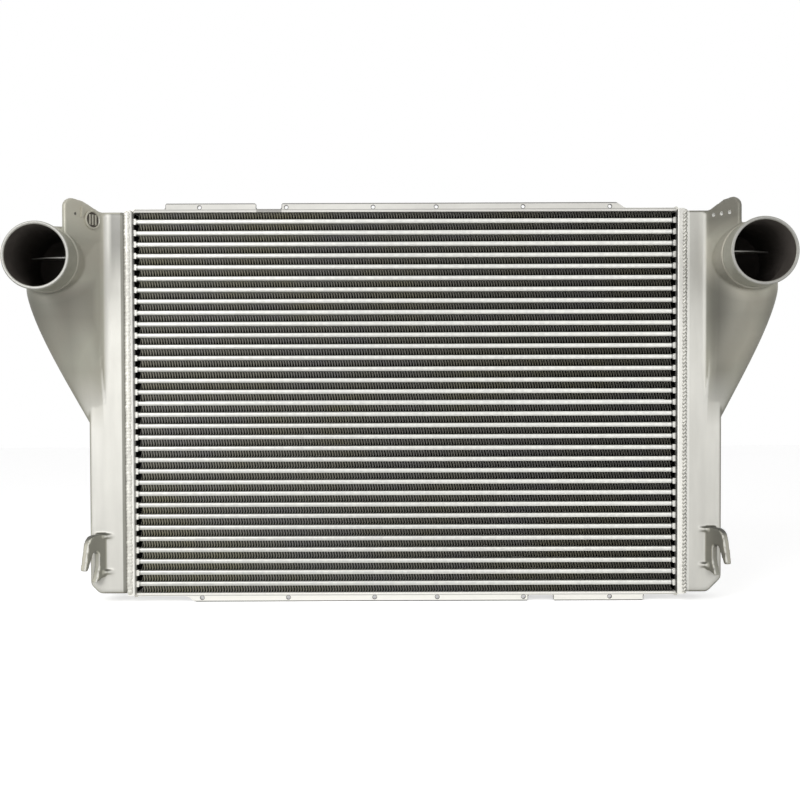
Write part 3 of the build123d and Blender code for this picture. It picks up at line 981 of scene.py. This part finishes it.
def fin_tree():
    """Rows of sheet folded up and down along X and swaying through the depth."""
    nodes = Geometry(
        "Folded fins",
        Float=("Period", "Crest", "Height", "Depth", "Wave", "Sheet", "Pitch"),
        Int=("Folds", "Rows", "Seed"), Vector=("Start",), Material=("Material",),
    )
    given = nodes.given
    folds, period = given["Folds"], given["Period"]
    columns = {"Size_X": folds * period, "Vertices_X": folds * 4.0 + 1.0}
    grid = nodes.shape("MeshGrid", Size_Y=given["Depth"], Vertices_Y=int(FIN_BAYS) + 1, **columns)
    folded = nodes.shape("SetPosition", Geometry=grid, Position=folded_places(nodes))
    sheet = given["Sheet"]
    thick = nodes.shape("ExtrudeMesh", Mesh=folded, Offset_Scale=sheet, Individual=False)
    whole = nodes.joined(thick, nodes.shape("FlipFaces", Mesh=folded))
    strip = nodes.shape("MergeByDistance", Geometry=whole, Distance=MERGE)
    rise = nodes.vector(Z=given["Pitch"])
    line = nodes.shape("MeshLine", Count=given["Rows"], Start_Location=given["Start"], Offset=rise)
    jitter = nodes.scatter("FLOAT", period * -FIN_JITTER, period * FIN_JITTER)
    points = nodes.shape("SetPosition", Geometry=line, Offset=nodes.vector(X=jitter))
    return nodes.close(nodes.shape("InstanceOnPoints", Points=points, Instance=strip))


def tube_tree():
    """A flat tube with round noses, along X."""
    nodes = Geometry(
        "Flat tube",
        Float=("Length", "Depth", "Height", "Rounding"), Vector=("Middle",),
        Material=("Material",),
    )
    given = nodes.given
    size = {"Width": given["Depth"], "Height": given["Height"]}
    outline = nodes.shape("CurvePrimitiveQuadrilateral", **size)
    fillet = {"Curve": outline, "Count": ARC_STEPS, "Radius": given["Rounding"]}
    soft = nodes.shape("FilletCurve", {"mode": "POLY"}, **fillet)
    start, end = (nodes.vector(X=given["Length"] * share) for share in (-0.5, 0.5))
    run = nodes.shape("CurvePrimitiveLine", Start=start, End=end)
    swept = nodes.shape("CurveToMesh", Curve=run, Profile_Curve=soft)
    return nodes.close(nodes.shape("SetPosition", Geometry=swept, Offset=given["Middle"]))


def ripple_tree():
    """Overlapping scales of weld metal along a line."""
    nodes = Geometry(
        "Weld ripples",
        Vector=("Start", "End", "Scale", "Turn"), Float=("Ripple", "Base"), Int=("Seed",),
        Material=("Material",),
    )
    given = nodes.given
    run = nodes.shape("CurvePrimitiveLine", Start=given["Start"], End=given["End"])
    points = nodes.shape("CurveToPoints", {"mode": "LENGTH"}, Curve=run, Length=given["Ripple"])
    ball = nodes.shape("MeshUVSphere", Segments=12, Rings=6, Radius=1.0)
    jitter = nodes.scatter("FLOAT_VECTOR", -RIPPLE_JITTER, RIPPLE_JITTER)
    moved = nodes.shape("SetPosition", Geometry=points, Offset=jitter)
    turn = nodes.make("FunctionNodeEulerToRotation", {0: given["Turn"]})
    scales = {"Points": moved, "Instance": ball, "Rotation": turn, "Scale": given["Scale"]}
    ring = nodes.shape("CurvePrimitiveCircle", Resolution=14, Radius=given["Base"])
    bead = nodes.shape("CurveToMesh", Curve=run, Profile_Curve=ring, Fill_Caps=True)
    return nodes.close(nodes.joined(nodes.shape("InstanceOnPoints", **scales), bead))


# ---- operators ----
FILM = 36.0
FOCAL_SHARE = 1132 / 800  # the lens, as a share of the picture's width
CAMERA_PITCH, CAMERA_ROLL = radians(1.3), radians(0.2)
CAMERA_ASIDE, CAMERA_AHEAD, CAMERA_UP = -0.00065, -0.030, 0.0043
KEY_PLACE, KEY_SIZE = (-1.25, -2.1, 1.25), 1.5
FILL_PLACE, FILL_SIZE = (1.9, -2.3, 0.9), 1.6
FLOOR_HALF, FLOOR_GLOW = 6.0, 0.6


def add_lamp(name, place, size, power):
    """A square lamp that faces the cooler."""
    lamp = new_object(name, bpy.data.lights.new(name, "AREA"))
    lamp.data.size = size
    lamp.data.energy = power
    lamp.location = place
    lamp.rotation_euler = (core_middle - Vector(place)).to_track_quat("-Z", "Y").to_euler()


def white_room(scene, settings):
    """A room that looks white and lights the cooler plainly."""
    world = bpy.data.worlds.new("room")
    scene.world = world
    world.use_nodes = True
    nodes = Nodes(world.node_tree)
    kinds = ("Is Camera Ray", "Is Glossy Ray", "Is Transmission Ray")
    camera, glossy, clear = [nodes.make("ShaderNodeLightPath", output=kind) for kind in kinds]
    seen = camera.most(glossy).most(clear)
    background = world.node_tree.nodes["Background"].inputs
    nodes.feed(background["Strength"], seen.between(settings.room_light, 1.0))
    nodes.feed(background["Color"], WHITE)


def pale_floor(settings):
    """A wide pale floor that looks white and keeps its shadow."""
    half = FLOOR_HALF
    corners = [(-half, -half, 0), (half, -half, 0), (half, half, 0), (-half, half, 0)]
    mesh = bpy.data.meshes.new("floor")
    mesh.from_pydata(corners, [], [(0, 1, 2, 3)])
    at = Finish("floor")
    tone = settings.floor_tone
    seen = at.make("ShaderNodeLightPath", output="Is Camera Ray")
    material = at.done(
        Base_Color=at.mix(at.noise(3.0), rgba(tone, 0.98), rgba(tone)), Roughness=0.9,
        Emission_Color=WHITE, Emission_Strength=seen * FLOOR_GLOW,
    )
    mesh.materials.append(material)
    floor = new_object("floor", mesh)


class CoolerStage(bpy.types.Operator):
    """Sets up the camera, the lamps, the room and the floor."""

    bl_idname = "cooler.stage"
    bl_label = "Stage"

    def execute(self, context):
        settings = context.scene.cooler_stage
        scene = context.scene
        camera = new_object("camera", bpy.data.cameras.new("camera"))
        camera.data.sensor_width = FILM
        camera.data.lens = FOCAL_SHARE * FILM
        camera.rotation_euler = (pi / 2 - CAMERA_PITCH, CAMERA_ROLL, 0)
        camera.data.shift_y = tan(CAMERA_PITCH) * FOCAL_SHARE
        back = core_middle.y + CAMERA_AHEAD - settings.distance
        camera.location = (CAMERA_ASIDE, back, core_middle.z + CAMERA_UP)
        camera.data.clip_end = 30.0
        scene.camera = camera
        scene.view_settings.view_transform = "Standard"
        add_lamp("key_lamp", KEY_PLACE, KEY_SIZE, settings.key_power)
        add_lamp("fill_lamp", FILL_PLACE, FILL_SIZE, settings.fill_power)
        white_room(scene, settings)
        pale_floor(settings)
        return {"FINISHED"}


class CoolerFins(bpy.types.Operator):
    """Folds the rows of fins."""

    bl_idname = "cooler.fins"
    bl_label = "Fins"

    def execute(self, context):
        settings = context.scene.cooler_core
        size = fins_high - fins_low
        rows = len(tube_names) + 1
        height, pitch = row_sizes()
        folds = int(size.x / settings.fin_period)
        material = fin_metal(settings)
        tree = fin_tree()
        first = 0
        for group in range(settings.fin_groups):
            last = rows * (group + 1) // settings.fin_groups
            start = (core_middle.x, core_middle.y, fins_low.z + height / 2 + first * pitch)
            thing = grown(
                f"fin_rows_{group + 1}", tree, Folds=folds, Period=size.x / folds,
                Height=height - 2 * settings.fin_sheet, Depth=size.y, Crest=settings.fin_crest,
                Wave=settings.fin_wave, Sheet=settings.fin_sheet, Rows=last - first,
                Pitch=pitch, Start=start, Seed=group + 3, Material=material,
            )
            finished(thing, [material], "fin_metal", "air_fins", angle=30.0)
            first = last
        return {"FINISHED"}


class CoolerTubes(bpy.types.Operator):
    """Rounds the flat tubes."""

    bl_idname = "cooler.tubes"
    bl_label = "Tubes"

    def execute(self, context):
        settings = context.scene.cooler_core
        material = tube_metal(settings)
        tree = tube_tree()
        for name in tube_names:
            low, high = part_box(name)
            size = dict(zip(("Length", "Depth", "Height"), high - low))
            look = {"Rounding": settings.tube_round, "Material": material}
            thing = grown(f"flat_{name}", tree, Middle=(low + high) / 2, **size, **look)
            add_modifier(thing, "SOLIDIFY", thickness=settings.tube_wall, offset=-1.0)
            finished(baked(thing), [material], "tube_aluminium", name)
        paint(bpy.data.materials["fin_metal"], "turbulators")
        return {"FINISHED"}


# DARK is the finish of painted shade.
CAST, DARK, TURNED = 0, 1, 2  # a casting's finishes, in the order of their slots


def casting_extra(label, side, solids, finishes, slot=CAST):
    """A small crisp part of a casting."""
    which = SHAPES[side]["name"]
    name = f"{which}_{label}"
    thing = new_object(name, placed_mesh(name, solids, side))
    finished(thing, finishes, "cast_aluminium", f"{which}_tank", angle=50.0)
    for face in thing.data.polygons:
        face.material_index = slot
    return thing


def mouth_finish(face, side):
    """The finish of a face of the port's mouth."""
    shape = SHAPES[side]
    middle = (face.center - core_middle) / MM
    across = Vector((side * middle.x - shape["port_x"], middle.z - shape["port_z"]))
    if across.length < BORE + 0.1:
        return DARK
    return TURNED if middle.y < NECK_FACE - 1.6 else CAST


def casting_body(side, shape, settings, finishes):
    """One casting, blended at its joints and hollow."""
    name = shape["name"]
    solids = [block_solid(shape), ear_solid(shape), ear_root_solid(shape), crease_solid()]
    solids += horn_solids(shape) + hook_solids(shape["hook"])
    body = new_object(f"{name}_tank_casting", placed_mesh(name, solids, side))
    add_modifier(body, "REMESH", mode="VOXEL", voxel_size=settings.grain)
    add_modifier(body, "SMOOTH", factor=0.5, iterations=settings.softening)
    baked(body)
    hollow = new_object(name + "_hollow", hollow_mesh(shape, side))
    add_modifier(hollow, "REMESH", mode="VOXEL", voxel_size=settings.hollow_grain)
    baked(hollow)
    drills = new_object(name + "_drills", placed_mesh(name, ear_drills(side), side))
    body.data.materials.append(finishes[CAST])
    for tool, finish in ((hollow, finishes[DARK]), (drills, finishes[TURNED])):
        tool.data.materials.clear()
        tool.data.materials.append(finish)
        way = {"solver": "EXACT", "material_mode": "TRANSFER"}
        add_modifier(body, "BOOLEAN", operation="DIFFERENCE", object=tool, **way)
        baked(body)
        bpy.data.objects.remove(tool)
    return body


def hollow_mesh(shape, side):
    """The space inside the tank, its horn and its neck."""
    ends = NECK_FACE - 4, BACK - 2 * WALL
    bore = round_bar(shape["port_x"], shape["port_z"], BORE + 1.5, *ends)
    solids = [block_space(shape, WALL, 6.0), bore] + horn_solids(shape, WALL)
    return placed_mesh("hollow", solids, side)


def ear_drills(side):
    """The holes through the ear."""
    reach = (-4.0, 12.0)
    if side == LEFT:
        return [wall_disc(55.0, HOLE_LEVEL, 2.25, *reach)]
    return [wall_disc(15.0 + HOLE_PITCH * n, HOLE_LEVEL, 3.1, *reach) for n in range(3)]


class CoolerTanks(bpy.types.Operator):
    """Casts the two tanks with their horns, ports, ears and hooks."""

    bl_idname = "cooler.tanks"
    bl_label = "Tanks"

    def execute(self, context):
        settings = context.scene.cooler_tanks
        finishes = [cast_aluminium(settings), bore_metal(settings), machined_metal(settings)]
        for side, shape in SHAPES.items():
            body = casting_body(side, shape, settings, finishes)
            finished(body, finishes, "cast_aluminium", f"{shape['name']}_tank")
            mouth = casting_extra("port_mouth", side, [spigot_ring(shape)], finishes)
            for face in mouth.data.polygons:
                face.material_index = mouth_finish(face, side)
            casting_extra("port_vane", side, [vane_solid(shape)], finishes, TURNED)
        casting_extra("ear_pad", LEFT, pad_solids(), finishes)
        # A thin dark disc inside the left ear's pad ring: painted shade between its bars.
        floor = wall_disc(PAD_PLACE, PAD_LEVEL, PAD_INSIDE, -0.4, 1.0)
        casting_extra("ear_pad_shade_disc", LEFT, [floor], finishes, DARK)
        return {"FINISHED"}


# A bead's shift from its box's middle, its scales' half sizes, their tilt in degrees, how far
# apart they lie in ripples, and the radius of the bead under them. Lengths are in metres.
WELDS = {
    "left": dict(aside=0.0035, across=0.0049, along=0.0052, slant=8, spread=0.9, base=0.0025),
    "right": dict(aside=0.0, across=0.0056, along=0.0023, slant=-52, spread=1.0, base=0.0018),
}
WELD_INSET, WELD_END, WELD_THICK = 0.0027, 0.0064, 0.0025


def weld_lines(name, scale):
    """The four lines of a bead round a tank, and whether each is level."""
    low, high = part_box(f"{name}_tank_weld")
    x = (low.x + high.x) / 2 + scale["aside"]
    lines = []
    for y in (low.y + WELD_INSET, high.y - WELD_INSET):
        lines.append(((x, y, low.z + WELD_END), (x, y, high.z - WELD_END), False))
    for z in (low.z + WELD_INSET, high.z - WELD_INSET):
        lines.append(((x, low.y + WELD_END, z), (x, high.y - WELD_END, z), True))
    return lines


class CoolerTrim(bpy.types.Operator):
    """Finishes the headers and rails, and lays the rippled welds."""

    bl_idname = "cooler.trim"
    bl_label = "Headers, rails and welds"

    def execute(self, context):
        settings = context.scene.cooler_trim
        sheet = sheet_metal("sheet_aluminium", settings.sheet_metal, 0.42, 1.0)
        rolled = sheet_metal("rolled_rail", settings.rail_metal, 0.45, 0.0)
        weld = weld_metal(settings)
        paint(sheet, "left_header", "right_header")
        paint(rolled, "upper_side_rail", "lower_side_rail")
        paint(weld, "rail_welds")
        tree = ripple_tree()
        for name, scale in WELDS.items():
            across, along = scale["across"], scale["along"]
            slant = radians(scale["slant"])
            for number, (start, end, flat) in enumerate(weld_lines(name, scale), start=1):
                thing = grown(
                    f"{name}_weld_run_{number}", tree, Start=start, End=end,
                    Ripple=settings.ripple * scale["spread"], Base=scale["base"],
                    Scale=(across, along, WELD_THICK) if flat else (across, WELD_THICK, along),
                    Turn=(0.0, 0.0, slant) if flat else (0.0, slant, 0.0), Seed=number,
                    Material=weld,
                )
                finished(thing, [weld], "weld_metal", f"{name}_tank_weld", angle=60.0)
        return {"FINISHED"}


class CoolerPanel(bpy.types.Panel):
    """Lists the cooler's settings and the steps that make it."""

    bl_idname = "VIEW3D_PT_cooler"
    bl_label = "Charge-Air Cooler"
    bl_space_type = "VIEW_3D"
    bl_region_type = "UI"
    bl_category = "Cooler"

    def draw(self, context):
        for key, group in SETTINGS:
            box = self.layout.box()
            for field in group.__annotations__:
                box.prop(getattr(context.scene, key), field)
        for operator in OPERATORS:
            self.layout.operator(operator.bl_idname)


OPERATORS = (CoolerStage, CoolerFins, CoolerTubes, CoolerTanks, CoolerTrim)
CLASSES = tuple(group for key, group in SETTINGS) + OPERATORS + (CoolerPanel,)


def register():
    """Adds the classes and the settings."""
    for item in CLASSES:
        bpy.utils.register_class(item)
    for key, group in SETTINGS:
        setattr(bpy.types.Scene, key, PointerProperty(type=group))


def unregister():
    """Takes the settings and the classes away."""
    for key, group in SETTINGS:
        delattr(bpy.types.Scene, key)
    for item in reversed(CLASSES):
        bpy.utils.unregister_class(item)


def main():
    """Dresses the cooler."""
    register()
    bpy.ops.cooler.stage()
    bpy.ops.cooler.fins()
    bpy.ops.cooler.tubes()
    bpy.ops.cooler.tanks()
    bpy.ops.cooler.trim()


if __name__ == "__main__":
    main()
